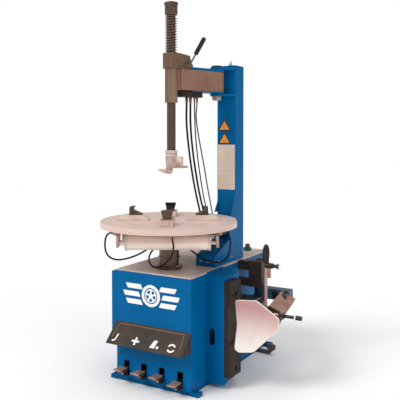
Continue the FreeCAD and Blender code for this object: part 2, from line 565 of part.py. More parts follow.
# ---------------------------------------------------------------- bead breaker
def bead_breaker():
    x, y = PIVOT_X, PIVOT_Y
    face = CAB_HALF + 0.3
    bars = [box(face, 300, 352, 392, 537, 586), box(face, 300, 352, 392, 450, 488)]
    housing = fuse(box(296, 374, 346, 352, 450, 592), box(296, 374, 346, 450, 586, 592),
                   box(368, 374, 346, 450, 500, 592), box(296, 302, 346, 450, 450, 592), *bars)
    lower_ear = fuse(box(face, x, 376, 444, 362, 378), cyl(x, y, 362, 34, 16))
    pin = fuse(cyl(x, y, 356, 14, 240), cyl(x, y, 592, 22, 7), cyl(x, y, 350, 20, 12))
    node("bead_bracket", fuse(housing, lower_ear, pin))

    beam = fuse(box(x, 520, y - 30, y + 30, 386, 443), cyl(x, y, 386, 30, 57),
                cyl(x, y, 386, 24, 198))
    start, end = V(505, 392, 404), V(570, 76, 390)
    heading = end - start
    arm = Part.makeBox(heading.Length, 84, 40, V(0, -42, -20))
    arm.rotate(V(0, 0, 0), V(1, 0, 0), -28)
    level = FreeCAD.Rotation(V(0, 0, 1), math.degrees(math.atan2(heading.y, heading.x)))
    tilt = FreeCAD.Rotation(V(0, 1, 0), math.degrees(math.atan2(-heading.z, 30000)))
    arm.Placement = FreeCAD.Placement(start, level.multiply(tilt)).multiply(arm.Placement)
    gusset = prism_z([(424, 381), (516, 381), (540, 292)], 392, 436)
    boss = fuse(cyl(BLADE_X, BLADE_Y, 372, 14, 40),
                box(BLADE_X - 12, BLADE_X + 12, BLADE_Y, 120, 376, 408))
    lug = fuse(box(x - 26, x + 30, CLEVIS_Y - 12, y, 386, 400),
               cyl(x, CLEVIS_Y, 352, 9, 40))
    handle_foot = box(506, 578, 84, 104, 412, 430)
    knob = fuse(cyl(575, 110, 388, 8, 87, (1, 0, 0)), cyl(662, 110, 388, 13, 6, (1, 0, 0)),
                cyl(668, 110, 388, 11, 30, (1, 0, 0)))
    whole = fuse(beam, arm, gusset, boss, lug, handle_foot, knob)
    whole = whole.cut(cyl(BLADE_X, BLADE_Y, 360, 8 + FIT, 60))
    whole = whole.cut(cyl(x, y, 380, 14 + FIT, 220))
    node("bead_arm", whole)

    outline = [(378, 457), (494, 465), (617, 396), (612, 342), (478, 208), (395, 194),
               (373, 208), (389, 333)]
    plate = prism_y(outline, 20, 28)
    ears = [box(BLADE_X - 14, BLADE_X + 8, 28, BLADE_Y + 12, z, z + 7) for z in (364, 413)]
    pin = cyl(BLADE_X, BLADE_Y, 360, 8, 64)
    node("bead_blade", fuse(plate, *ears, pin))

    rod = cyl(515, 94, 430, 7, 222)
    strip = box(526, 540, 88, 100, 572, 652)
    clips = [box(510, 540, 90, 98, z, z + 8) for z in (576, 606)]
    grip = fuse(cyl(515, 94, 652, 15, 82), Part.makeSphere(15, V(515, 94, 734)))
    valve = box(512, 552, 81, 107, BUTTON_Z - 13, BUTTON_Z + 13)
    handle = fuse(rod, strip, *clips, valve, grip)
    node("bead_handle", handle.cut(cyl(542, 94, BUTTON_Z, BUTTON_R + 0.3, 11, (1, 0, 0))))
    trigger = fuse(cyl(549, 94, BUTTON_Z, BUTTON_R, 29.5, (1, 0, 0)),
                   cyl(578.5, 94, BUTTON_Z, 14, 10, (1, 0, 0)))
    node("handle_button", trigger)

    r, wall = 58.0, 5.0
    x0, x1 = TRUNNION_X + 20, 190.0
    barrel = cyl(x0, CLEVIS_Y, ROD_Z, r, x1 - x0, (1, 0, 0))
    barrel = barrel.cut(cyl(x0 + 15, CLEVIS_Y, ROD_Z, r - wall, x1 - x0 - 30, (1, 0, 0)))
    barrel = barrel.cut(cyl(x1 - 20, CLEVIS_Y, ROD_Z, 14 + FIT, 30, (1, 0, 0)))
    tail = box(TRUNNION_X - 20, x0, CLEVIS_Y - 15, CLEVIS_Y + 15, ROD_Z - 15, ROD_Z + 15)
    tail = tail.cut(cyl(TRUNNION_X, CLEVIS_Y, ROD_Z - 40, 10 + FIT, 80))
    node("bead_cylinder", fuse(barrel, tail))
    rod = cyl(x0 + 20, CLEVIS_Y, ROD_Z, 14, x - 22 - x0 - 20, (1, 0, 0))
    piston = cyl(x0 + 20, CLEVIS_Y, ROD_Z, r - wall - FIT, 20, (1, 0, 0))
    eye = box(x - 22, x + 22, CLEVIS_Y - 22, CLEVIS_Y + 22, ROD_Z - 12, ROD_Z + 12)
    eye = eye.cut(cyl(x, CLEVIS_Y, ROD_Z - 30, 17, 60))
    node("bead_rod", fuse(rod, piston, eye))
    t, y0, y1 = TRUNNION_X, CLEVIS_Y - 20, CLEVIS_Y + 20
    trunnion = fuse(cyl(t, CLEVIS_Y, ROD_Z - 30, 10, 60),
                    box(t - 34, t + 16, y0, y1, ROD_Z + 15.5, ROD_Z + 23),
                    box(t - 34, t + 16, y0, y1, ROD_Z - 23, ROD_Z - 15.5),
                    box(t - 34, t - 24, y0, y1, ROD_Z - 23, DECK))
    node("cabinet_shell", group(NODES["cabinet_shell"], trunnion))


def main():
    for make in (base_frame, cabinet_shell, top_plate, left_side_cover, wheel_rest, pedal_hood,
                 column, fasteners, drive, turntable, jaws, table_hoses, swing_arm, tool_shaft,
                 arm_hoses, air_parts, pedals, bead_breaker):
        make()
    os.makedirs("parts", exist_ok=True)
    for old in os.listdir("parts"):
        if old.endswith(".step") and old[:-5] not in NODES:
            os.remove(os.path.join("parts", old))
    for name, shape in NODES.items():
        solids = shape.Solids
        volume = sum(s.Volume for s in solids)
        flag = "" if shape.isValid() and solids and volume > 0 else "  CHECK"
        print(f"{name}: {len(solids)} solids, {volume / 1000:.1f} cm3{flag}")
        whole = solids[0] if len(solids) == 1 else Part.makeCompound(solids)
        whole.exportStep(f"parts/{name}.step")
    print(len(NODES), "nodes")


main()
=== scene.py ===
"""Looks of a swing-arm tire changer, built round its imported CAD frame.
Metres, +Z up, +X to the operator's right, +Y from the pedals to the rear."""
import json
import math

import bmesh
import bpy
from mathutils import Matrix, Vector


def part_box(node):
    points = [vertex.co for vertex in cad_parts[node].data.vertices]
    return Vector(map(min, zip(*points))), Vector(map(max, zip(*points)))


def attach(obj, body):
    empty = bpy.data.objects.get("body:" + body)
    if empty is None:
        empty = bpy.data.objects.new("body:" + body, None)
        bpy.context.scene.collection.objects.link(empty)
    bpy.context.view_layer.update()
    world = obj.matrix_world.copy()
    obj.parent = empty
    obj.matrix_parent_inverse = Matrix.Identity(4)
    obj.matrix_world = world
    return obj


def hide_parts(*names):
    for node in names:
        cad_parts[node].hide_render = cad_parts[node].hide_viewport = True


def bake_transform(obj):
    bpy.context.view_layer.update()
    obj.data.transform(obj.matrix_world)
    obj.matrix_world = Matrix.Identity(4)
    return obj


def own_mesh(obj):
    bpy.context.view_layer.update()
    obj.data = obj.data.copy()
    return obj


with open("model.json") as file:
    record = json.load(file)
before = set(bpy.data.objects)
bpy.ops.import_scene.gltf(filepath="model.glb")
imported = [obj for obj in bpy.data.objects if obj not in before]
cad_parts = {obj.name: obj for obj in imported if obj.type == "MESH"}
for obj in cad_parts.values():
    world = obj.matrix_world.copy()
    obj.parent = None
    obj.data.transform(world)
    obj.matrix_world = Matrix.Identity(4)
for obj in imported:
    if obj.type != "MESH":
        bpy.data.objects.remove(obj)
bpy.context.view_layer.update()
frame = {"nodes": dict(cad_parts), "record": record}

SCENE = bpy.context.scene
RECORD = frame["record"]
BODY_OF = {n: b for b, nodes in RECORD["behaviour"]["bodies"].items() for n in nodes}

MM = 0.001
WELD = 2e-6                     # vertices closer than this are one
FLAT = math.radians(0.6)        # faces closer than this to one plane are one face
CORNER = math.radians(32)       # edges sharper than this are rounded
SHARP = math.radians(42)        # edges still sharper than this stay sharp in shading
TURN = math.radians(30.34)      # the jaw axes' angle from +X
AWAY = Vector((math.sin(TURN), -math.cos(TURN), 0))   # level, across the jaw axis, to the front
ALONG = Vector((math.cos(TURN), math.sin(TURN), 0))   # level, along the jaw axis, to the right
UP = Vector((0, 0, 1))
FRONT = Vector((0, -1, 0))
COLUMN_FRONT = 0.355            # the column's front face, behind its foot's ribs
PEDAL_SCREW = -0.190            # the front of the pedals' clevises
BLADE_HINGE = (0.597, 0.056)    # the shovel's upright hinge line


# ---------------------------------------------------------------- materials
def srgb(red, green, blue):
    """An sRGB colour of 0 to 255 as linear RGBA."""
    linear = [c / 3294.6 if c < 11 else ((c / 255 + 0.055) / 1.055) ** 2.4
              for c in (red, green, blue)]
    return (*linear, 1.0)


def finish(name, light, dark, rough, metallic=0.0, cloud=14.0, stretch=(1, 1, 1), speck=900.0,
           bump=0.1, specular=0.5, rings=False, wear=None, fade=None):
    """A surface whose colour drifts from light to dark in soft clouds, with its roughness, and
    whose fine grain is bumped. rings turns the clouds into rings round the Z axis, wear is a
    second colour that shows in small scuffs, and fade is the height over which dark turns to
    light."""
    material = bpy.data.materials.new(name)
    material.use_nodes = True
    nodes, links = material.node_tree.nodes, material.node_tree.links
    shader = nodes["Principled BSDF"]
    shader.inputs["Metallic"].default_value = metallic
    shader.inputs["Specular IOR Level"].default_value = specular
    place = nodes.new("ShaderNodeTexCoord").outputs["Object"]
    if rings:
        split = nodes.new("ShaderNodeSeparateXYZ")
        links.new(place, split.inputs[0])
        flat = nodes.new("ShaderNodeCombineXYZ")
        links.new(split.outputs["X"], flat.inputs["X"])
        links.new(split.outputs["Y"], flat.inputs["Y"])
        length = nodes.new("ShaderNodeVectorMath")
        length.operation = "LENGTH"
        links.new(flat.outputs[0], length.inputs[0])
        ring = nodes.new("ShaderNodeCombineXYZ")
        links.new(length.outputs["Value"], ring.inputs["X"])
        links.new(split.outputs["Z"], ring.inputs["Z"])
        place = ring.outputs[0]
    mapping = nodes.new("ShaderNodeMapping")
    mapping.inputs["Scale"].default_value = stretch
    links.new(place, mapping.inputs["Vector"])

    def noise(scale, detail):
        texture = nodes.new("ShaderNodeTexNoise")
        texture.inputs["Scale"].default_value = scale
        texture.inputs["Detail"].default_value = detail
        texture.inputs["Roughness"].default_value = 0.6
        links.new(mapping.outputs["Vector"], texture.inputs["Vector"])
        return texture.outputs["Fac"]

    clouds = noise(cloud, 6.0)
    ramp = nodes.new("ShaderNodeValToRGB")
    low, high = ramp.color_ramp.elements
    low.position, high.position = 0.36, 0.64
    low.color, high.color = dark, light
    # fade paints shading by height, from the dark colour below to the light colour above
    if fade:
        height = nodes.new("ShaderNodeSeparateXYZ")
        links.new(place, height.inputs[0])
        rise = nodes.new("ShaderNodeMapRange")
        rise.inputs["From Min"].default_value, rise.inputs["From Max"].default_value = fade
        rise.inputs["To Min"].default_value, rise.inputs["To Max"].default_value = 0.3, 0.7
        links.new(height.outputs["Z"], rise.inputs["Value"])
        drift = nodes.new("ShaderNodeMath")
        drift.operation = "MULTIPLY_ADD"
        drift.inputs[1].default_value, drift.inputs[2].default_value = 0.16, -0.08
        links.new(clouds, drift.inputs[0])
        total = nodes.new("ShaderNodeMath")
        links.new(rise.outputs["Result"], total.inputs[0])
        links.new(drift.outputs[0], total.inputs[1])
        clouds = total.outputs[0]
    links.new(clouds, ramp.inputs["Fac"])
    colour = ramp.outputs["Color"]
    if wear:
        mask = nodes.new("ShaderNodeMapRange")
        mask.inputs["From Min"].default_value = 0.62
        mask.inputs["From Max"].default_value = 0.70
        links.new(noise(cloud * 4.3, 8.0), mask.inputs["Value"])
        blend = nodes.new("ShaderNodeMix")
        blend.data_type = "RGBA"
        blend.inputs["B"].default_value = wear
        links.new(mask.outputs["Result"], blend.inputs["Factor"])
        links.new(colour, blend.inputs["A"])
        colour = blend.outputs["Result"]
    links.new(colour, shader.inputs["Base Color"])
    shine = nodes.new("ShaderNodeMapRange")
    shine.inputs["From Min"].default_value = 0.3
    shine.inputs["From Max"].default_value = 0.7
    shine.inputs["To Min"].default_value = rough[0]
    shine.inputs["To Max"].default_value = rough[1]
    links.new(noise(cloud * 2.6, 4.0), shine.inputs["Value"])
    links.new(shine.outputs["Result"], shader.inputs["Roughness"])
    grain = nodes.new("ShaderNodeBump")
    grain.inputs["Strength"].default_value = bump
    grain.inputs["Distance"].default_value = 0.0004
    links.new(noise(speck, 3.0), grain.inputs["Height"])
    links.new(grain.outputs["Normal"], shader.inputs["Normal"])
    return material


BLUE = finish("blue_powder_coat", srgb(0, 103, 162), srgb(0, 95, 151), (0.26, 0.34), cloud=3.0,
              speck=300.0, bump=0.02, specular=0.06)
BLUE_WORN = finish("blue_powder_coat_scuffed", srgb(0, 94, 146), srgb(0, 80, 128), (0.32, 0.44),
                   cloud=9.0, speck=300.0, bump=0.03, specular=0.06, wear=srgb(16, 84, 122))
BROWN = finish("brown_black_paint", srgb(72, 59, 50), srgb(56, 46, 39), (0.38, 0.5), cloud=9.0,
               speck=400.0, bump=0.08, specular=0.25, wear=srgb(84, 69, 58))
ARM_PAINT = finish("bronze_paint", srgb(152, 116, 97), srgb(136, 103, 86), (0.34, 0.46),
                   cloud=7.0, speck=300.0, bump=0.05, specular=0.25, wear=srgb(158, 124, 104))
HEAD_PAINT = finish("bronze_casting", srgb(122, 97, 78), srgb(96, 76, 60), (0.3, 0.44),
                    cloud=12.0, speck=300.0, bump=0.14, specular=0.3, wear=srgb(138, 112, 92))
DECK = finish("deck_enamel", srgb(212, 194, 186), srgb(188, 170, 162), (0.34, 0.46), cloud=9.0,
              speck=400.0, bump=0.05, specular=0.3, wear=srgb(160, 142, 134))
DISC = finish("turned_steel", srgb(238, 212, 201), srgb(216, 188, 177), (0.32, 0.42),
              metallic=0.2, cloud=34.0, speck=500.0, bump=0.03, rings=True)
JAW_STEEL = finish("ground_jaw_steel", srgb(236, 222, 208), srgb(216, 198, 186), (0.3, 0.4),
                   metallic=0.2, cloud=16.0, speck=400.0, bump=0.04)
JAW_PINK = finish("jaw_slide_steel", srgb(206, 172, 160), srgb(178, 144, 132), (0.32, 0.42),
                  metallic=0.2, cloud=16.0, speck=400.0, bump=0.04)
STEEL = finish("machined_steel", srgb(240, 224, 214), srgb(216, 198, 188), (0.25, 0.34),
               metallic=0.3, cloud=14.0, stretch=(1, 1, 5), speck=400.0, bump=0.03)
PINK_STEEL = finish("rolled_steel", srgb(204, 160, 150), srgb(184, 138, 130), (0.32, 0.44),
                    metallic=0.2, cloud=8.0, speck=400.0, bump=0.04, wear=srgb(170, 126, 118))
# painted sheen: the blade turns from pink near its top to near white towards its foot, set by
# height
BLADE_SHEEN_STEEL = finish("ground_blade_painted_sheen", srgb(196, 148, 146), srgb(250, 240, 230), (0.3, 0.4),
                     metallic=0.15, cloud=7.0, speck=400.0, bump=0.03, fade=(0.20, 0.47))
# painted highlight for the blade's rim and rounded edges
BLADE_EDGE_HIGHLIGHT = finish("blade_edge_painted_highlight", srgb(250, 240, 222), srgb(238, 224, 206), (0.3, 0.4),
                    metallic=0.15, cloud=20.0, speck=400.0, bump=0.03)
# tan paint for the handle's strip, and a painted highlight on the bead arm's upward face
TAN_PAINT_AND_HIGHLIGHT = finish("tan_paint_and_painted_highlight", srgb(170, 128, 112), srgb(146, 106, 92), (0.4, 0.52),
                   cloud=12.0, speck=300.0, bump=0.06, wear=srgb(190, 146, 136))
DARK_TAN = finish("dark_tan_paint", srgb(96, 76, 62), srgb(74, 58, 47), (0.4, 0.52),
                  cloud=12.0, speck=300.0, bump=0.08, wear=srgb(118, 94, 76))
BLUE_GRAY = finish("blue_gray_enamel", srgb(64, 98, 122), srgb(40, 66, 86), (0.32, 0.46),
                   cloud=16.0, speck=300.0, bump=0.06, wear=srgb(104, 112, 116))
ALLOY = finish("anodised_tube", srgb(255, 240, 228), srgb(246, 226, 212), (0.2, 0.24),
               metallic=0.15, cloud=4.0, speck=300.0, bump=0.01)
CAST = finish("cast_alloy", srgb(255, 240, 230), srgb(232, 206, 192), (0.3, 0.42),
              metallic=0.1, cloud=26.0, speck=300.0, bump=0.14, wear=srgb(160, 130, 118))
ZINC = finish("zinc_plate", srgb(200, 190, 182), srgb(160, 150, 142), (0.25, 0.36), metallic=0.6,
              cloud=30.0, speck=400.0, bump=0.03)
# black oxide for the dark parts, and painted shade under the arm's plates
BLACK_OXIDE_AND_SHADE = finish("black_oxide", srgb(60, 49, 42), srgb(40, 32, 27), (0.3, 0.42), metallic=0.2,
               cloud=20.0, speck=400.0, bump=0.06, specular=0.35, wear=srgb(78, 64, 55))
CLAW = finish("claw_steel", srgb(96, 82, 70), srgb(70, 59, 50), (0.32, 0.44), metallic=0.2,
              cloud=24.0, speck=300.0, bump=0.12, specular=0.35, wear=srgb(118, 102, 88))
CLAW_BLACK = finish("black_claw_steel", srgb(46, 40, 36), srgb(32, 27, 24), (0.36, 0.48),
                    cloud=24.0, speck=300.0, bump=0.1, specular=0.25)
SPRING = finish("spring_steel", srgb(132, 107, 92), srgb(96, 76, 64), (0.24, 0.34), metallic=0.4,
                cloud=40.0, speck=500.0, bump=0.03)
SHAFT = finish("oiled_hex_bar", srgb(98, 77, 64), srgb(74, 57, 47), (0.26, 0.36), metallic=0.3,
               cloud=14.0, stretch=(1, 1, 0.12), speck=400.0, bump=0.03)
TUBE = finish("honed_guide_tube", srgb(178, 148, 130), srgb(140, 113, 97), (0.22, 0.3),
              metallic=0.5, cloud=9.0, stretch=(1, 1, 0.1), speck=400.0, bump=0.02)
IRON = finish("cast_iron", srgb(104, 98, 92), srgb(76, 71, 67), (0.5, 0.64), metallic=0.2,
              cloud=20.0, speck=260.0, bump=0.25)
NECK = finish("machined_neck", srgb(120, 98, 84), srgb(92, 74, 63), (0.26, 0.32), metallic=0.5,
              cloud=5.0, stretch=(1, 1, 0.5), speck=400.0, bump=0.02)
RUBBER = finish("moulded_rubber", srgb(56, 45, 37), srgb(40, 32, 26), (0.5, 0.64), cloud=13.0,
                speck=300.0, bump=0.12, specular=0.2, wear=srgb(68, 55, 45))
HOSE = finish("hose_rubber", srgb(26, 20, 18), srgb(15, 12, 11), (0.3, 0.42), cloud=60.0,
              speck=900.0, bump=0.04, specular=0.15)
PLASTIC = finish("black_plastic", srgb(102, 80, 65), srgb(80, 62, 50), (0.32, 0.44), cloud=14.0,
                 speck=500.0, bump=0.08, specular=0.3)
GRIP = finish("grip_rubber", srgb(44, 36, 31), srgb(30, 24, 21), (0.36, 0.5), cloud=40.0,
              speck=500.0, bump=0.14, specular=0.3)
WHITE = finish("white_enamel", srgb(255, 253, 251), srgb(248, 246, 243), (0.3, 0.42), cloud=30.0,
               speck=400.0, bump=0.02)
LABEL = finish("pale_label", srgb(226, 210, 194), srgb(214, 197, 181), (0.45, 0.55), cloud=18.0,
               speck=400.0, bump=0.02)
PRINT = finish("label_print", srgb(206, 190, 176), srgb(194, 178, 164), (0.45, 0.55), cloud=40.0,
               speck=400.0, bump=0.02)
ORANGE = finish("orange_label", srgb(236, 160, 76), srgb(220, 138, 58), (0.38, 0.5), cloud=40.0,
                speck=400.0, bump=0.02)
PEDAL = finish("worn_pedal_plate", srgb(190, 152, 130), srgb(140, 106, 88), (0.34, 0.5),
               metallic=0.2, cloud=36.0, speck=300.0, bump=0.1, wear=srgb(96, 74, 62))
BRASS = finish("brass_fitting", srgb(140, 118, 90), srgb(104, 84, 62), (0.26, 0.36),
               metallic=0.6, cloud=50.0, speck=500.0, bump=0.03)
TEAL = finish("teal_enamel", srgb(20, 118, 112), srgb(10, 92, 90), (0.3, 0.4), cloud=20.0,
              speck=300.0, bump=0.05, specular=0.3)
FLOOR = finish("pale_floor", srgb(252, 252, 252), srgb(250, 250, 250), (0.7, 0.8), cloud=1.2,
               speck=40.0, bump=0.01, specular=0.1)


# ---------------------------------------------------------------- mesh helpers
def shade(bm):
    """Smooth shading, apart from the edges that are still sharp."""
    bm.normal_update()
    for face in bm.faces:
        face.smooth = True
    for edge in bm.edges:
        edge.smooth = not (edge.is_manifold and edge.calc_face_angle(0.0) > SHARP)


def piece(name, bm, material, body):
    """Turns a finished bmesh into a piece that rides on a body."""
    shade(bm)
    mesh = bpy.data.meshes.new(name)
    bm.to_mesh(mesh)
    bm.free()
    mesh.materials.append(material)
    made = bpy.data.objects.new(name, mesh)
    SCENE.collection.objects.link(made)
    weighted = made.modifiers.new("weighted_normals", "WEIGHTED_NORMAL")
    weighted.keep_sharp = True
    if body:
        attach(made, body)
    return made


def soften(bm, width, segments=2):
    """Rounds every corner edge of a bmesh."""
    bm.normal_update()
    edges = [e for e in bm.edges if e.is_manifold and e.calc_face_angle(0.0) > CORNER]
    if edges:
        bmesh.ops.bevel(bm, geom=edges, offset=width, offset_type="OFFSET", segments=segments,
                        profile=0.5, affect="EDGES", clamp_overlap=True)


def part_solids(bm):
    """Takes a node's solids apart where they touch, so that each is a closed shell."""
    bmesh.ops.remove_doubles(bm, verts=bm.verts, dist=WELD)
    left, shells = set(bm.faces), []
    while left:
        shell, waiting = set(), [left.pop()]
        while waiting:
            face = waiting.pop()
            shell.add(face)
            for edge in face.edges:
                if len(edge.link_faces) == 2:
                    for other in edge.link_faces:
                        if other in left:
                            left.discard(other)
                            waiting.append(other)
        shells.append(list(shell))
    for shell in shells[1:]:
        bmesh.ops.split(bm, geom=shell)


def refined(node, material, width=1.2 * MM, segments=2):
    """Stands for a CAD node with the same shape, its flat faces joined and corners rounded."""
    bm = bmesh.new()
    bm.from_mesh(frame["nodes"][node].data)
    part_solids(bm)
    bmesh.ops.dissolve_limit(bm, angle_limit=FLAT, verts=bm.verts, edges=bm.edges)
    soften(bm, width, segments)
    made = piece(f"{node}_body", bm, material, BODY_OF[node])
    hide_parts(node)
    return made


def centre_of(node):
    """The middle of a CAD node's box."""
    low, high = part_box(node)
    return (low + high) / 2


def add_slab(bm, outline, place, thickness):
    """Adds a flat outline of (u, v) points, put in space by place(u, v, height), as a plate."""
    front = [bm.verts.new(place(u, v, thickness)) for u, v in outline]
    back = [bm.verts.new(place(u, v, 0.0)) for u, v in outline]
    bm.faces.new(front)
    bm.faces.new(back[::-1])
    count = len(outline)
    for k in range(count):
        n = (k + 1) % count
        bm.faces.new([front[n], front[k], back[k], back[n]])


def add_ring(bm, outer, inner, place, thickness):
    """Adds a closed band between two outlines of as many points, as a plate with a hole."""
    loops = [[bm.verts.new(place(u, v, h)) for u, v in line]
             for line, h in ((outer, thickness), (inner, thickness), (inner, 0.0), (outer, 0.0))]
    count = len(outer)
    for a, b in ((0, 1), (1, 2), (2, 3), (3, 0)):
        for k in range(count):
            n = (k + 1) % count
            bm.faces.new([loops[a][k], loops[a][n], loops[b][n], loops[b][k]])


def arc(u, v, radius, start, end, count):
    """Points of an arc, in degrees, both ends included."""
    angles = [math.radians(start + (end - start) * k / (count - 1)) for k in range(count)]
    return [(u + radius * math.cos(a), v + radius * math.sin(a)) for a in angles]


def band(line, width):
    """The outline of a band of that width along a line of (u, v) points."""
    left, right = [], []
    for k, (u, v) in enumerate(line):
        before, after = line[max(k - 1, 0)], line[min(k + 1, len(line) - 1)]
        du, dv = after[0] - before[0], after[1] - before[1]
        size = math.hypot(du, dv)
        nu, nv = -dv / size * width / 2, du / size * width / 2
        left.append((u + nu, v + nv))
        right.append((u - nu, v - nv))
    return right + left[::-1]


def outward(bm):
    """Turns every closed shell's faces to look out."""
    bmesh.ops.recalc_face_normals(bm, faces=bm.faces)


def add_lathe(bm, profile, origin, axis=UP, count=40):
    """Turns a profile of (radius, height) points about an axis; its ends close on the axis."""
    axis = Vector(axis).normalized()
    side = axis.orthogonal().normalized()
    other = axis.cross(side)
    origin = Vector(origin)
    rings = []
    for radius, height in profile:
        if radius < 1e-7:
            rings.append([bm.verts.new(origin + axis * height)])
            continue
        spots = [2 * math.pi * k / count for k in range(count)]
        rings.append([bm.verts.new(origin + axis * height
                                   + (side * math.cos(a) + other * math.sin(a)) * radius)
                      for a in spots])
    for low, high in zip(rings, rings[1:]):
        for k in range(count):
            n = (k + 1) % count
            if len(low) == 1:
                bm.faces.new([low[0], high[k], high[n]])
            elif len(high) == 1:
                bm.faces.new([low[k], low[n], high[0]])
            else:
                bm.faces.new([low[k], low[n], high[n], high[k]])


def add_tube(bm, line, radius, count=14, bulge=None):
    """Sweeps a circle along a line of points. bulge(share) scales the radius along the way."""
    line = [Vector(p) for p in line]
    heading = (line[1] - line[0]).normalized()
    side = heading.orthogonal().normalized()
    rings = []
    for k, point in enumerate(line):
        ahead = line[min(k + 1, len(line) - 1)] - line[max(k - 1, 0)]
        ahead.normalize()
        side = (side - ahead * side.dot(ahead)).normalized()
        other = ahead.cross(side)
        r = radius * (bulge(k / (len(line) - 1)) if bulge else 1.0)
        spots = [2 * math.pi * i / count for i in range(count)]
        rings.append([bm.verts.new(point + (side * math.cos(a) + other * math.sin(a)) * r)
                      for a in spots])
    for low, high in zip(rings, rings[1:]):
        for i in range(count):
            n = (i + 1) % count
            bm.faces.new([low[i], low[n], high[n], high[i]])
    bm.faces.new(rings[0][::-1])
    bm.faces.new(rings[-1])


def add_hexagon(bm, centre, axis, across, height):
    """A hexagon head with a domed top, standing at centre along axis."""
    r = across / 2 / math.cos(math.pi / 6)
    add_lathe(bm, [(0, 0), (r, 0), (r, height * 0.8), (r * 0.86, height), (0, height)], centre,
              axis, count=6)


# ---------------------------------------------------------------- hoses
def smooth_line(route):
    """The points of the smooth line that a hose's route gives."""
    curve = bpy.data.curves.new("route", "CURVE")
    curve.dimensions = "3D"
    curve.resolution_u = 8
    spline = curve.splines.new("NURBS")
    spline.points.add(len(route) - 1)
    for point, place in zip(spline.points, route):
        point.co = (*place, 1.0)
    spline.order_u = 3
    spline.use_endpoint_u = True
    holder = bpy.data.objects.new("route", curve)
    SCENE.collection.objects.link(holder)
    bpy.context.view_layer.update()
    mesh = bpy.data.meshes.new_from_object(holder)
    line = [v.co.copy() for v in mesh.vertices]
    bpy.data.objects.remove(holder)
    bpy.data.curves.remove(curve)
    bpy.data.meshes.remove(mesh)
    return line


def hose(name, route, diameter, first, last):
    """A hanging hose from one body to another, with a crimped sleeve on each end."""
    line = smooth_line([p * MM for p in route])
    bm = bmesh.new()
    add_tube(bm, line, diameter / 2)
    tube = piece(f"{name}_tube", bm, HOSE, None)
    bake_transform(tube)
    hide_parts(name)
    for body, start, toward, end in ((first, line[0], line[1], "first"),
                                     (last, line[-1], line[-2], "last")):
        heading = (toward - start).normalized()
        r = diameter / 2
        profile = [(r * 1.02, 0.0), (r * 1.5, 0.0), (r * 1.55, 0.001), (r * 1.4, 0.004),
                   (r * 1.4, 0.007), (r * 1.5, 0.009), (r * 1.35, 0.012), (r * 1.35, 0.015),
                   (r * 1.45, 0.017), (r * 1.2, 0.021), (r * 1.02, 0.022)]
        bm = bmesh.new()
        add_lathe(bm, profile + [profile[0]], start, heading, count=20)
        bmesh.ops.remove_doubles(bm, verts=bm.verts, dist=WELD)
        outward(bm)
        piece(f"{name}_sleeve_{end}", bm, BRASS, body)


def table_point(along, away, z):
    """A place under the turntable, measured along and across the jaw axis."""
    return ALONG * along + AWAY * away + UP * z


def make_hoses():
    """The table's three hoses and the arm's four, on the CAD's own routes, in millimetres."""
    left = [(-276, 118, 787), (-291, 118, 787), (-304, 120, 782), (-313, 122, 769),
            (-318, 124, 748), (-319, 126, 718), (-312, 128, 684), (-290, 129, 660),
            (-256, 126, 650), (-218, 117, 653), (-180, 103, 662), (-142, 82, 675),
            (-108, 63, 694), (-81, 48, 707), (-58.25, 34.6, 707)]
    centre = [(24, 177, 795), (24, 177, 768), (31, 179, 735), (30, 175, 700), (14, 165, 664),
              (-14, 154, 634), (-48, 143, 615), (-78, 134, 618), (-95, 128, 638),
              (-97, 118, 664), (-86, 100, 688), (-64, 75, 707), (-44, 51.6, 707)]
    right = [(276, 100, 787), (291, 100, 787), (304, 102, 782), (312, 104, 769),
             (317, 106, 747), (317, 109, 716), (312, 111, 680), (295, 112, 651),
             (266, 110, 634), (232, 105, 632), (196, 96, 642), (160, 80, 660),
             (124, 64, 683), (86, 45, 707), (60, 31.4, 707)]
    for side, route, jaw in (("left", left, "jaw_3"), ("center", centre, "jaw_4"),
                             ("right", right, "jaw_1")):
        hose(f"table_hose_{side}", [table_point(*p) for p in route], 0.009, jaw, "table")
    arm = [
        (0.011, [(49, 98, 1476), (49, 98, 1436), (38, 112, 1370), (26, 142, 1290),
                 (12, 182, 1205), (-2, 226, 1120), (-16, 274, 1035), (-28, 322, 955),
                 (-35, 366, 878), (-34, 398, 800), (-27, 416, 726), (-20, 425, 666),
                 (-20, 425, 620)]),
        (0.011, [(58, 122, 1476), (58, 122, 1436), (50, 134, 1370), (40, 158, 1290),
                 (30, 190, 1210), (18, 229, 1130), (6, 273, 1050), (-6, 319, 970),
                 (-13, 363, 892), (-12, 399, 814), (-5, 422, 738), (0, 438, 670),
                 (0, 438, 620)]),
        (0.007, [(67, 149, 1476), (67, 149, 1440), (64, 157, 1385), (55, 176, 1316),
                 (46, 202, 1240), (36, 234, 1165), (26, 270, 1090), (16, 309, 1015),
                 (8, 347, 940), (6, 381, 865), (10, 405, 790), (18, 421, 718),
                 (22, 430, 660), (22, 430, 612)]),
        (0.007, [(73, 166, 1476), (73, 166, 1442), (64, 169, 1394), (62, 183, 1332),
                 (62, 207, 1262), (60, 236, 1190), (58, 266, 1120), (54, 295, 1050),
                 (50, 325, 980), (46, 357, 910), (44, 386, 842), (46, 410, 774),
                 (50, 426, 708), (52, 434, 654), (52, 434, 612)]),
    ]
    for k, (diameter, route) in enumerate(arm):
        hose(f"arm_hose_{k + 1}", [Vector(p) for p in route], diameter, "arm", "chassis")


# ---------------------------------------------------------------- camera, floor and light
def make_camera():
    """The viewer stands to the right of the front, a little above the turntable."""
    data = bpy.data.cameras.new("camera")
    data.sensor_width = 36.0
    data.lens = 56.343
    data.shift_y = -0.1125
    camera = bpy.data.objects.new("camera", data)
    yaw, pitch = math.radians(30.293), math.radians(1.632)
    camera.location = (1.79558, -2.75057, 1.27209)
    camera.rotation_euler = (math.radians(90) - pitch, 0.0, yaw)
    SCENE.collection.objects.link(camera)
    SCENE.camera = camera


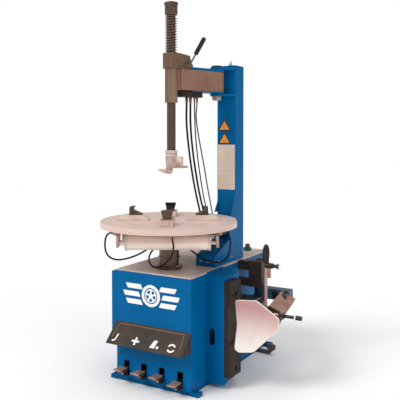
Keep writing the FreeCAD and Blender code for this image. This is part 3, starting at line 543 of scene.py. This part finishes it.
def make_light():
    """Three wide suns and a pale world, in front of a white backdrop that only the camera sees."""
    world = bpy.data.worlds.new("studio")
    SCENE.world = world
    world.use_nodes = True
    nodes, links = world.node_tree.nodes, world.node_tree.links
    place = nodes.new("ShaderNodeTexCoord")
    split = nodes.new("ShaderNodeSeparateXYZ")
    links.new(place.outputs["Generated"], split.inputs[0])
    ramp = nodes.new("ShaderNodeValToRGB")
    stops = ramp.color_ramp.elements
    stops[0].position, stops[0].color = 0.0, (0.92, 0.88, 0.86, 1)
    stops[1].position, stops[1].color = 0.75, (1.0, 0.99, 0.98, 1)
    links.new(split.outputs["Z"], ramp.inputs["Fac"])
    links.new(ramp.outputs["Color"], nodes["Background"].inputs["Color"])
    nodes["Background"].inputs["Strength"].default_value = 0.42
    backdrop = nodes.new("ShaderNodeBackground")
    backdrop.inputs["Color"].default_value = (1, 1, 1, 1)
    seen = nodes.new("ShaderNodeLightPath")
    either = nodes.new("ShaderNodeMixShader")
    links.new(seen.outputs["Is Camera Ray"], either.inputs["Fac"])
    links.new(nodes["Background"].outputs[0], either.inputs[1])
    links.new(backdrop.outputs[0], either.inputs[2])
    links.new(either.outputs[0], nodes["World Output"].inputs["Surface"])
    for name, spot, strength, spread in (("key", (-1.5, -3.0, 3.2), 1.55, 24),
                                         ("fill", (3.6, -1.6, 2.4), 0.55, 40),
                                         ("top", (0.3, 0.2, 4.0), 0.75, 50)):
        data = bpy.data.lights.new(name, "SUN")
        data.energy = strength
        data.angle = math.radians(spread)
        light = bpy.data.objects.new(name, data)
        light.location = spot
        light.rotation_euler = (-Vector(spot)).to_track_quat("-Z", "Y").to_euler()
        SCENE.collection.objects.link(light)
    SCENE.view_settings.view_transform = "Standard"


def make_floor():
    """A pale disc just below the feet."""
    bm = bmesh.new()
    rim = arc(0.0, 0.0, 14.0, 0, 360 * 95 / 96, 96)
    bm.faces.new([bm.verts.new((u, v, -0.0005)) for u, v in rim])
    floor = piece("studio_floor", bm, FLOOR, None)


# ---------------------------------------------------------------- the pieces
def make_refined():
    """Every CAD node whose own shape is right, with rounded corners and its own material."""
    for material, width, nodes in (
            (BLUE, 1.4 * MM, ("cabinet_shell", "left_side_cover", "wheel_rest_box",
                              "column_post")),
            (BROWN, 1.4 * MM, ("pedal_hood", "bead_bracket")),
            (ARM_PAINT, 2.0 * MM, ("arm_beam",)),
            (HEAD_PAINT, 2.5 * MM, ("head_block",)),
            (DECK, 1.2 * MM, ("top_plate",)),
            (DISC, 1.2 * MM, ("turntable_plate",)),
            (JAW_PINK, 1.5 * MM, ("jaw_slide_2", "jaw_slide_4")),
            (STEEL, 0.8 * MM, ("clamp_rods", "bead_rod")),
            (CAST, 2.6 * MM, ("mount_head",)),
            (CLAW, 4.0 * MM, ("jaw_claw_1", "jaw_claw_3")),
            (BLACK_OXIDE_AND_SHADE, 1.6 * MM, ("rotary_valve", "lock_valve")),
            (SHAFT, 1.5 * MM, ("hex_shaft",)),
            (ZINC, 0.8 * MM, ("cabinet_fittings",)),
            (NECK, 1.0 * MM, ("turntable_hub", "gearbox")),
            (ALLOY, 1.2 * MM, ("clamp_cylinders", "bead_cylinder")),
            (RUBBER, 3.0 * MM, ("wheel_rest_pad",)),
            (RUBBER, 0.6 * MM, ("drive_belt",)),
            (IRON, 2.0 * MM, ("motor", "gearbox_pulley", "motor_pulley", "pedal_unit")),
            (TEAL, 1.5 * MM, ("air_unit",)),
            (PLASTIC, 1.5 * MM, ("regulator_knob",))):
        for node in nodes:
            refined(node, material, width)


def make_spring():
    """The return spring round the tool shaft: it stands on the head."""
    low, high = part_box("return_spring")
    wire, turns, steps = 4.5 * MM, 14, 20
    radius = (high.x - low.x) / 2 - wire / 2
    axis = centre_of("return_spring")
    bottom, top = low.z + wire / 2, high.z - wire / 2
    line = []
    for k in range(turns * steps + 1):
        angle = 2 * math.pi * k / steps
        share = k / (turns * steps)
        line.append((axis.x + radius * math.cos(angle), axis.y + radius * math.sin(angle),
                     bottom + (top - bottom) * share))
    bm = bmesh.new()
    add_tube(bm, line, wire / 2, count=10)
    spring = piece("return_spring_coil", bm, SPRING, "arm")
    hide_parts("return_spring")
    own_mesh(spring)


def paint(made, material, chosen):
    """Gives another material to the faces whose centre, in millimetres, and normal chosen()
    picks."""
    made.data.materials.append(material)
    index = len(made.data.materials) - 1
    for face in made.data.polygons:
        if chosen(face.center / MM, face.normal):
            face.material_index = index


def make_decals():
    """The cabinet's wheel emblem, the hood's pictograms and the column's plain labels."""
    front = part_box("cabinet_shell")[0].y
    sheet = 0.8 * MM

    def on_front(u, v, height):
        return Vector((u, front - height, v))

    bm = bmesh.new()
    u, v, tire, rim, hub = -0.011, 0.4665, 0.056, 0.035, 0.011
    ends = (0, 360 * 47 / 48, 48)
    add_ring(bm, arc(u, v, tire, *ends), arc(u, v, rim + 0.006, *ends), on_front, sheet)
    add_ring(bm, arc(u, v, rim, *ends), arc(u, v, rim - 0.006, *ends), on_front, sheet)
    add_slab(bm, arc(u, v, hub, *ends), on_front, sheet)
    for k in range(5):
        angle = math.radians(90 + 72 * k)
        spoke = [(u + r * math.cos(angle), v + r * math.sin(angle)) for r in (hub, rim - 0.006)]
        add_slab(bm, band(spoke, 0.010), on_front, sheet)
    for side in (-1, 1):
        for row, reach in ((0.040, 0.150), (0.0, 0.168), (-0.040, 0.150)):
            inner = math.sqrt(max(0.066 ** 2 - row ** 2, 0.048 ** 2)) + 0.004
            slant, half = 0.012 * side, 0.0125
            add_slab(bm, [(u + side * inner - slant / 2, v + row - half),
                          (u + side * reach - slant / 2, v + row - half),
                          (u + side * reach + slant / 2, v + row + half),
                          (u + side * inner + slant / 2, v + row + half)], on_front, sheet)
    outward(bm)
    piece("wheel_emblem", bm, WHITE, "chassis")

    low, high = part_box("pedal_hood")
    top = Vector((0, high.y, high.z))
    foot = Vector((0, low.y, low.z + 9 * MM))
    down = (foot - top).normalized()
    face = down.cross(Vector((1, 0, 0))).normalized()
    face = face if face.y < 0 else -face

    def on_hood(u, v, height):
        """u to the right from the middle, v down from the hood's top edge."""
        return top + Vector((u, 0, 0)) + down * v + face * height

    bm = bmesh.new()
    height = 0.9 * MM
    row = 0.095
    hook = arc(-0.193, row + 0.004, 0.014, 0, 110, 9)
    add_slab(bm, band([(-0.176, row - 0.022)] + hook, 0.008), on_hood, height)
    add_slab(bm, band([(-0.080, row), (-0.036, row)], 0.011), on_hood, height)
    for v in (row - 0.021, row + 0.0065):
        add_slab(bm, band([(-0.058, v), (-0.058, v + 0.0145)], 0.011), on_hood, height)
    add_slab(bm, [(0.048, row - 0.024), (0.068, row - 0.024), (0.062, row + 0.018),
                  (0.034, row + 0.018)], on_hood, height)
    add_slab(bm, arc(0.078, row + 0.011, 0.0075, 0, 345, 24), on_hood, height)
    for start in (20, 200):
        add_slab(bm, band(arc(0.156, row, 0.019, start, start + 130, 14), 0.008), on_hood, height)
    outward(bm)
    piece("hood_pictograms", bm, WHITE, "chassis")

    # painted highlight: a thin bronze line along the hood's crease, where it catches light
    bm = bmesh.new()
    line = [(-0.205, 0.094), (-0.196, 0.014), (0.196, 0.014), (0.205, 0.094)]
    for a, b in zip(line, line[1:]):
        add_slab(bm, band([a, b], 0.0035), on_hood, 1.2 * MM)
    outward(bm)
    piece("hood_crease_painted_highlight", bm, ARM_PAINT, "chassis")

    def on_column(u, v, height):
        return Vector((u, COLUMN_FRONT - height, v))

    for name, z in (("label_triangle_1", 1.3075), ("label_triangle_2", 1.234)):
        for part, grow, material, h in (("edge", 1.0, BLACK_OXIDE_AND_SHADE, 0.4 * MM),
                                        ("face", 0.74, ORANGE, 0.8 * MM)):
            bm = bmesh.new()
            corners = [(-0.042, -0.024), (0.042, -0.024), (0.0, 0.047)]
            add_slab(bm, [(0.141 + a * grow, z + 0.024 + b * grow) for a, b in corners],
                     on_column, h)
            outward(bm)
            piece(f"{name}_{part}", bm, material, "chassis")
    left, right, foot, top = 0.099, 0.206, 0.979, 1.230
    bm = bmesh.new()
    add_slab(bm, [(left, foot), (right, foot), (right, top), (left, top)], on_column, 0.8 * MM)
    soften(bm, 0.3 * MM)
    outward(bm)
    piece("blank_placard", bm, LABEL, "chassis")
    bm = bmesh.new()
    margin, rule = 0.007, 0.0018
    for k in range(9):
        z = 1.206 - 0.025 * k
        add_slab(bm, [(left + margin, z), (right - margin, z), (right - margin, z + rule),
                      (left + margin, z + rule)], on_column, 1.1 * MM)
    outward(bm)
    piece("placard_rules", bm, PRINT, "chassis")


def collar(bm, inner, outer, length, origin, axis):
    """Adds a ring with eased corners round an axis."""
    ease = (outer - inner) * 0.35
    profile = [(inner, 0), (outer - ease, 0), (outer, ease), (outer, length - ease),
               (outer - ease, length), (inner, length), (inner, 0)]
    start = len(bm.verts)
    add_lathe(bm, profile, origin, axis, count=48)
    bm.verts.ensure_lookup_table()
    bmesh.ops.remove_doubles(bm, verts=bm.verts[start:], dist=WELD)


def make_painted():
    """The CAD shapes that carry more than one finish."""
    base = refined("base_frame", BLUE_WORN, 1.4 * MM)
    side, tip = 226, 341.5        # what sticks out past the cabinet's side, and its end face
    near, far = 580, 620          # from front to rear
    paint(base, DARK_TAN, lambda c, n: c.x > side and near < c.y < far)
    paint(base, BLACK_OXIDE_AND_SHADE, lambda c, n: c.x > tip and near < c.y < far)
    plates = refined("arm_plates", BLUE, 1.4 * MM)
    # painted shade: the blue plates' undersides are dark, where shade falls under them
    paint(plates, BLACK_OXIDE_AND_SHADE, lambda c, n: n.z < -0.9)
    guide = refined("guide_tube", TUBE, 1.5 * MM)
    centre = centre_of("hex_shaft") / MM
    paint(guide, ARM_PAINT, lambda c, n: math.hypot(c.x - centre.x, c.y - centre.y) > 34)
    pin = refined("swing_pin", ZINC, 0.8 * MM)
    paint(pin, BLACK_OXIDE_AND_SHADE, lambda c, n: c.z > 1650)
    bolts = refined("machine_bolts", ZINC, 0.8 * MM)
    paint(bolts, BLACK_OXIDE_AND_SHADE, lambda c, n: c.y < -150 or c.x < -270)
    lever = refined("lock_lever", GRIP, 1.0 * MM)
    low, high = (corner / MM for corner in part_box("lock_lever"))
    paint(lever, HEAD_PAINT, lambda c, n: c.z < low.z + 0.42 * (high.z - low.z))
    for node in ("jaw_slide_1", "jaw_slide_3"):
        slide = refined(node, JAW_STEEL, 1.5 * MM)
        paint(slide, JAW_PINK, lambda c, n: c.z < 830)
    for k in range(4):
        pedal = refined(f"pedal_{k + 1}", PEDAL, 1.2 * MM)
        paint(pedal, BLACK_OXIDE_AND_SHADE, lambda c, n: c.z < 60 and c.y < -150 or c.y > -170)
        low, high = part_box(f"pedal_{k + 1}")
        bm = bmesh.new()
        add_hexagon(bm, ((low.x + high.x) / 2, PEDAL_SCREW, low.z + 13 * MM), FRONT, 9 * MM,
                    3.5 * MM)
        outward(bm)
        piece(f"pedal_{k + 1}_screw", bm, ZINC, BODY_OF[f"pedal_{k + 1}"])


def make_claws():
    """The front and the rear claw narrow towards the foot."""
    for node, material in (("jaw_claw_2", CLAW_BLACK), ("jaw_claw_4", CLAW)):
        claw = refined(node, material, 3.0 * MM, 3)
        low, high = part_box(node)
        middle = centre_of(node)
        for vertex in claw.data.vertices:
            aside = (vertex.co - middle).dot(ALONG)
            share = min(1.0, (vertex.co.z - low.z) / (high.z - low.z) * 1.15)
            vertex.co -= ALONG * aside * 0.36 * (1 - share)


def make_cap():
    """The tool shaft's cap: a ribbed knob with a wider domed top."""
    foot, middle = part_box("shaft_cap")[0].z, centre_of("shaft_cap")
    profile = [(0, 0), (25, 0), (31, 1), (33, 5)]
    for k in range(6):
        z = 7 + 7 * k
        profile += [(33.6, z), (33.6, z + 4), (32.6, z + 5), (32.6, z + 6)]
    profile += [(33.5, 50), (36.5, 54), (37, 61), (34, 66), (22, 69.5), (0, 71)]
    bm = bmesh.new()
    add_lathe(bm, [(r * MM, z * MM) for r, z in profile], (middle.x, middle.y, foot), UP, 48)
    outward(bm)
    cap = piece("shaft_cap_knob", bm, PLASTIC, BODY_OF["shaft_cap"])
    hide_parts("shaft_cap")


def make_mount_head():
    """The mount head and the bright clamping collar round its socket."""
    refined("mount_head", CAST, 2.2 * MM)
    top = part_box("mount_head")[1].z
    axis = centre_of("hex_shaft")
    bm = bmesh.new()
    for drop, length, outer in ((15, 14, 32.5), (31, 8, 31.5)):
        collar(bm, 29.5 * MM, outer * MM, length * MM, (axis.x, axis.y, top - drop * MM), UP)
    outward(bm)
    piece("mount_head_collar", bm, STEEL, BODY_OF["mount_head"])


def make_cylinder_rings():
    """The end caps' rings on the two clamping cylinders."""
    radius, half = 37 * MM, 218 * MM      # a tube's radius and half its length
    offset = 120 * MM                     # from the table's axis to a tube's
    middle = UP * centre_of("clamp_cylinders").z
    bm = bmesh.new()
    for side in (-1, 1):
        for end in (-1, 1):
            at = middle + AWAY * offset * side + ALONG * half * end
            collar(bm, radius - 2 * MM, radius + 2.5 * MM, 14 * MM, at, -ALONG * end)
    outward(bm)
    piece("clamp_cylinder_rings", bm, JAW_STEEL, BODY_OF["clamp_cylinders"])


def rounded(outline, radius, steps=6):
    """An outline with its corners rounded, less where its sides are short."""
    smooth = []
    for k, corner in enumerate(outline):
        before = Vector(outline[k - 1]) - Vector(corner)
        after = Vector(outline[(k + 1) % len(outline)]) - Vector(corner)
        reach = min(radius, before.length * 0.45, after.length * 0.45)
        a = Vector(corner) + before.normalized() * reach
        b = Vector(corner) + after.normalized() * reach
        for i in range(steps + 1):
            t = i / steps
            smooth.append(tuple(a * (1 - t) ** 2 + Vector(corner) * 2 * t * (1 - t) + b * t ** 2))
    return smooth


def make_blade():
    """The bead breaker's shovel: a plate with rounded corners and a rim painted near white as a
    highlight, on two ears.
    """
    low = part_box("bead_blade")[0]
    corners = [(7, 265), (124, 277), (246, 203), (241, 150), (107, 16), (24, 2), (2, 18), (18, 141)]
    bm = bmesh.new()
    add_slab(bm, [(u * MM, v * MM) for u, v in rounded(corners, 15)],
             lambda u, v, h: Vector((low.x + u, low.y + 8 * MM - h, low.z + v)), 9 * MM)
    outward(bm)
    soften(bm, 2.6 * MM, 3)
    hinge_x, hinge_y = BLADE_HINGE
    ear = [(-14 * MM, -29 * MM), (12 * MM, -29 * MM)] + arc(-1 * MM, 0, 13 * MM, 0, 180, 17)
    for z in (364, 413):
        shell = bmesh.new()
        add_slab(shell, ear, lambda u, v, h: Vector((hinge_x + u, hinge_y + v, z * MM + h)), 7 * MM)
        outward(shell)
        soften(shell, 1.0 * MM)
        spare = bpy.data.meshes.new("ear")
        shell.to_mesh(spare)
        shell.free()
        bm.from_mesh(spare)
        bpy.data.meshes.remove(spare)
    add_lathe(bm, [(0, 0), (8 * MM, 0), (8 * MM, 66 * MM), (6.5 * MM, 68 * MM), (0, 68 * MM)],
              (hinge_x, hinge_y, 358 * MM), UP, 32)
    outward(bm)
    blade = piece("bead_blade_shovel", bm, BLADE_SHEEN_STEEL, BODY_OF["bead_blade"])
    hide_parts("bead_blade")
    # painted highlight: every face of the plate but its front turns near white, so the rim and its
    # rounded edges shine
    paint(blade, BLADE_EDGE_HIGHLIGHT, lambda c, n: c.y < 30 and n.y > -0.98)
    paint(blade, BLACK_OXIDE_AND_SHADE, lambda c, n: c.y > 30)


def make_handle():
    """The bead breaker's handle: a rod, a notched strip, a valve body and a swelling grip."""
    x, y = 515 * MM, 94 * MM
    bm = bmesh.new()
    add_lathe(bm, [(0, 0), (7 * MM, 0), (7 * MM, 222 * MM), (0, 222 * MM)], (x, y, 430 * MM),
              UP, 32)
    grip = [(0, 0), (12, 0), (14, 4), (15, 14), (17.5, 34), (18, 50), (16.5, 68), (13, 82),
            (9, 90), (4, 94), (0, 95)]
    add_lathe(bm, [(r * MM, z * MM) for r, z in grip], (x, y, 645 * MM), UP, 40)
    outward(bm)
    notched = [(526, 572)]
    for k in range(5):
        z = 574 + 13 * k
        notched += [(540, z), (540, z + 7), (534, z + 8.5), (534, z + 11.5)]
    notched += [(540, 640), (526, 640)]
    slabs = [(notched, 88, 12)]
    for z in (576, 606):
        slabs.append(([(510, z), (528, z), (528, z + 8), (510, z + 8)], 90, 8))
    for outline, back, deep in slabs:
        add_slab(bm, [(u * MM, v * MM) for u, v in outline],
                 lambda u, v, h: Vector((u, (back + deep) * MM - h, v)), deep * MM)
    add_lathe(bm, [(9.4 * MM, 0), (12 * MM, 0), (13.5 * MM, 2 * MM), (13.5 * MM, 40 * MM),
                   (9.4 * MM, 40 * MM), (9.4 * MM, 0)], (512 * MM, y, 634 * MM), (1, 0, 0), 40)
    bmesh.ops.remove_doubles(bm, verts=bm.verts, dist=WELD)
    outward(bm)
    handle = piece("bead_handle_lever", bm, GRIP, BODY_OF["bead_handle"])
    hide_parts("bead_handle")
    paint(handle, PINK_STEEL, lambda c, n: c.z < 645 and math.hypot(c.x - 515, c.y - 94) < 7.5)
    paint(handle, TAN_PAINT_AND_HIGHLIGHT, lambda c, n: c.x > 523 and c.z < 619)
    button = refined("handle_button", GRIP, 1.0 * MM)
    paint(button, WHITE, lambda c, n: c.x > 584)


def make_bead_arm():
    """The beam in blue-gray, its forward arm dark with a painted highlight in tan on its broad
    upward face, and a white collared knob.
    """
    arm = refined("bead_arm", BLACK_OXIDE_AND_SHADE, 2.0 * MM)
    paint(arm, BLUE_GRAY, lambda c, n: c.x < 525 and c.y > 378 and c.z < 445)
    # painted highlight: the forward arm's upward faces in tan, the lit side of the dark arm
    paint(arm, TAN_PAINT_AND_HIGHLIGHT, lambda c, n: c.y < 392 and n.z > 0.7 and n.x > 0.3)
    # the faces near the handle's foot take the same painted highlight
    paint(arm, TAN_PAINT_AND_HIGHLIGHT, lambda c, n: c.y < 120 and c.z > 405 and c.x < 600)
    paint(arm, WHITE, lambda c, n: 661 < c.x < 668.5)


def main():
    make_camera()
    make_light()
    make_floor()
    make_hoses()
    make_spring()
    make_refined()
    make_painted()
    make_claws()
    make_cap()
    make_mount_head()
    make_cylinder_rings()
    make_blade()
    make_handle()
    make_bead_arm()
    make_decals()


main()
